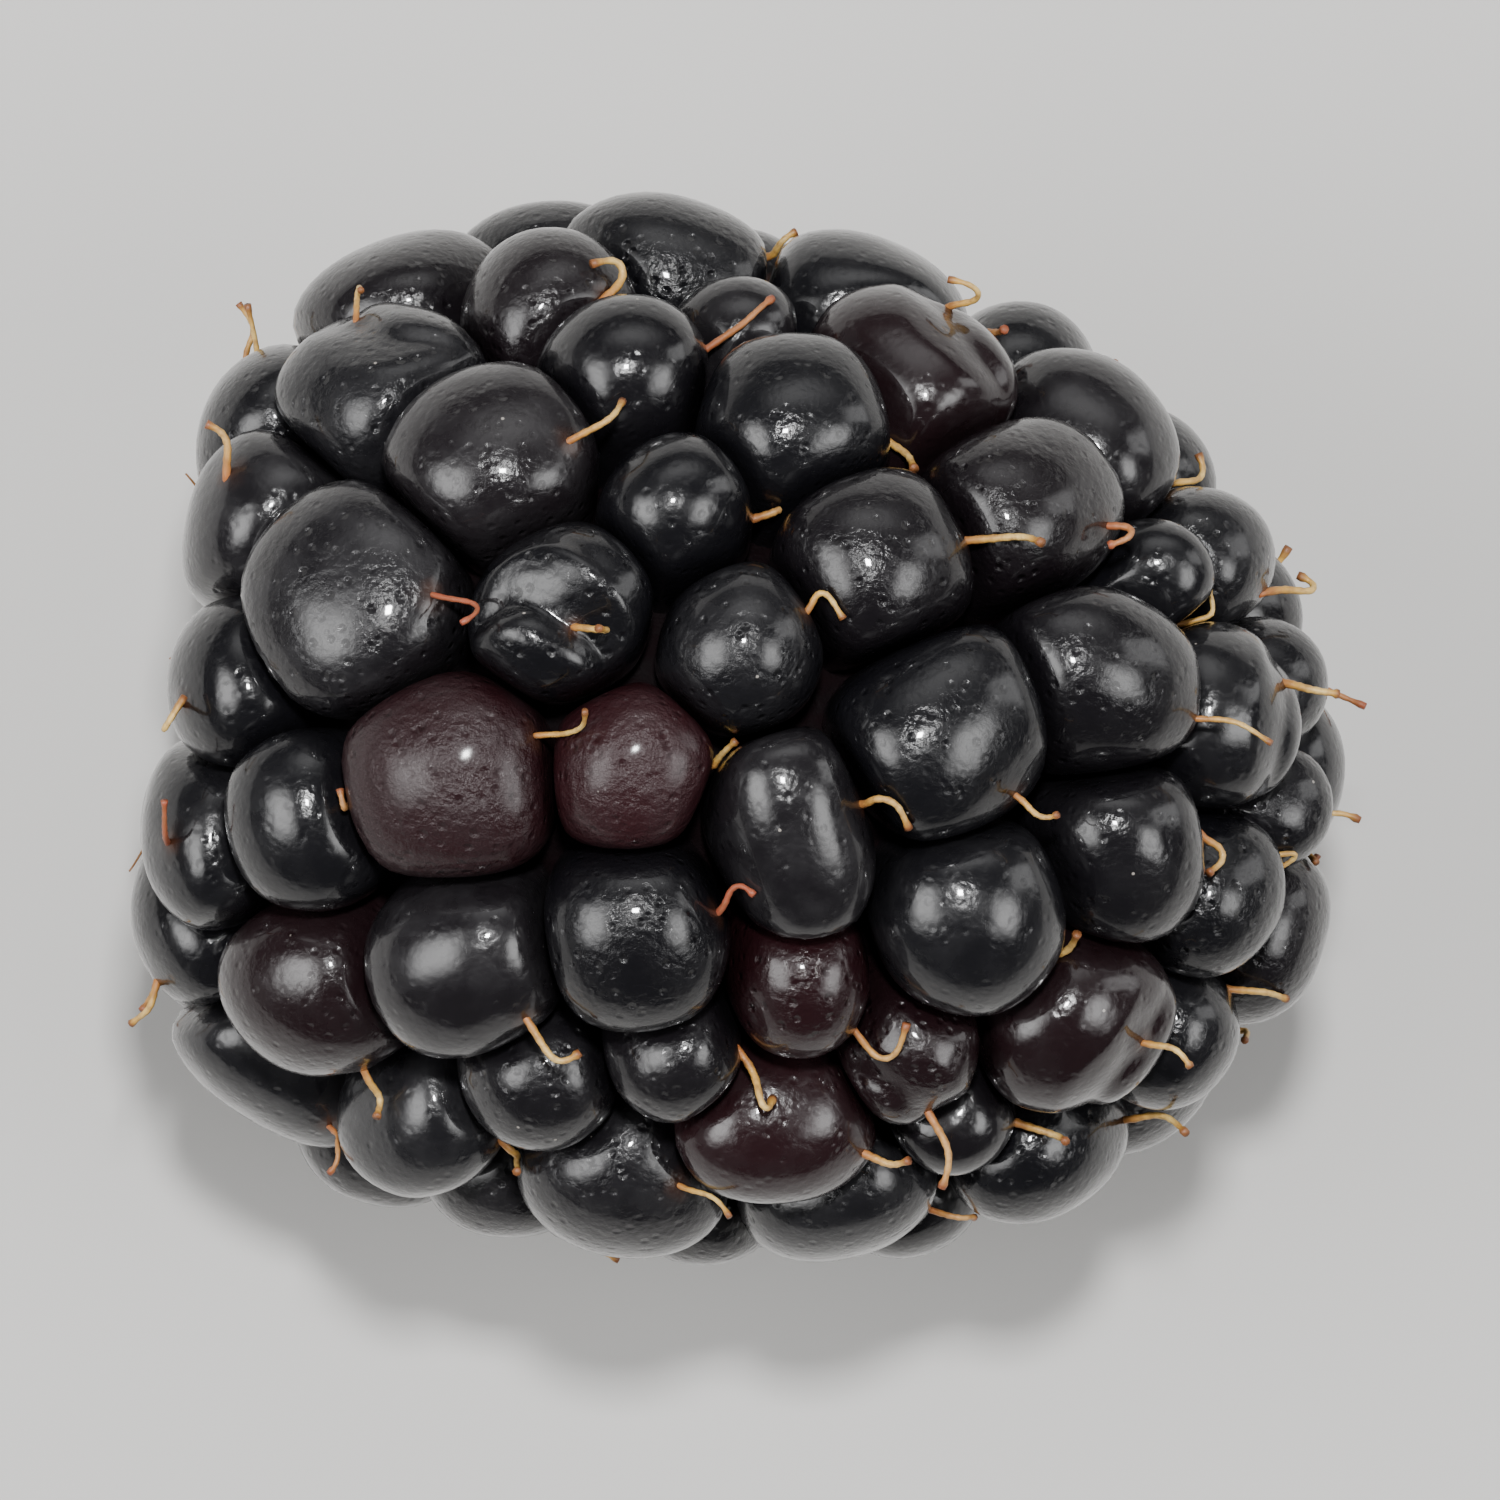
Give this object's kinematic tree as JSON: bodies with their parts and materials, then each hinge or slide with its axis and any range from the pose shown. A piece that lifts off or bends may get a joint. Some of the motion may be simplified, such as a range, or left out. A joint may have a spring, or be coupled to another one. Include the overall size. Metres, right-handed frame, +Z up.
{
  "type": "bramble berry",
  "caption": "Ripe bramble berry lying on its side: crowded round drupelets fused over a core, with the pale receptacle showing at the stem end.",
  "frame": {"origin": "on the ground under the middle of the berry's bounding box, as it lies", "axes": "+X along the berry towards its tip, which is its longest extent, +Z up, +Y to the left of the tip"},
  "size_m": [0.033, 0.0288, 0.0283],
  "materials": {
    "drupelet_skin": "glossy near-black fruit skin with a faint bloom; stands in for the skin of ripe drupelets",
    "receptacle_pith": "matt fibrous yellow-green pith; stands in for the torn receptacle"
  },
  "bodies": {
    "root": {"drupelets": "drupelet_skin", "receptacle": "receptacle_pith"}
  },
  "joints": []
}
